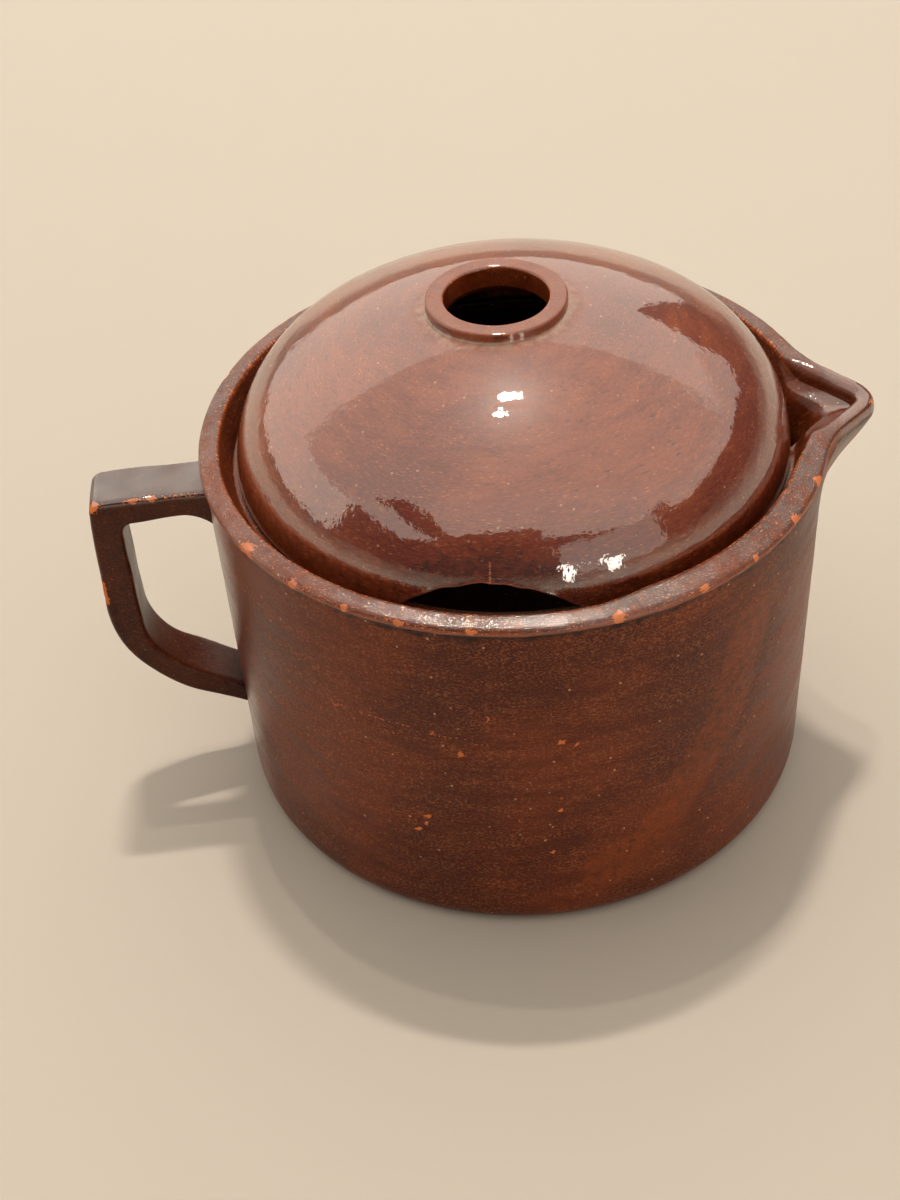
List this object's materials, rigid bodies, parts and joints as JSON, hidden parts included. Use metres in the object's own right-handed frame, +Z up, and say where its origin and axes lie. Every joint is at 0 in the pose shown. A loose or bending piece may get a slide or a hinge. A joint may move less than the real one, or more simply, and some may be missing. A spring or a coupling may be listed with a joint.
{
  "type": "lidded milk boiler pot",
  "caption": "Glazed clay pot for boiling milk: straight wall, beak spout, strap handle, and a domed lid with a collared boil-over hole and a drain notch.",
  "frame": {"origin": "centre of the underside, on the pot's axis", "axes": "+Z up, +X the way it pours, so the spout is at +X and the handle at -X"},
  "size_m": [0.2552, 0.2, 0.1771],
  "materials": {
    "pot_glaze": "glossy dark red-brown lead glaze over red earthenware, worn to orange clay at the edges",
    "lid_glaze": "glossy red-brown lead glaze over red earthenware, with fine pale flecks"
  },
  "bodies": {
    "pot": {"pot_body": "pot_glaze", "pouring_spout": "pot_glaze", "handle": "pot_glaze"},
    "lid": {"lid_dome": "lid_glaze", "lid_collar": "lid_glaze"}
  },
  "joints": [
    {"name": "lid_lift", "type": "slide", "parent": "pot", "child": "lid", "axis": [0, 0, 1], "range_m": [0, 0.15]}
  ]
}
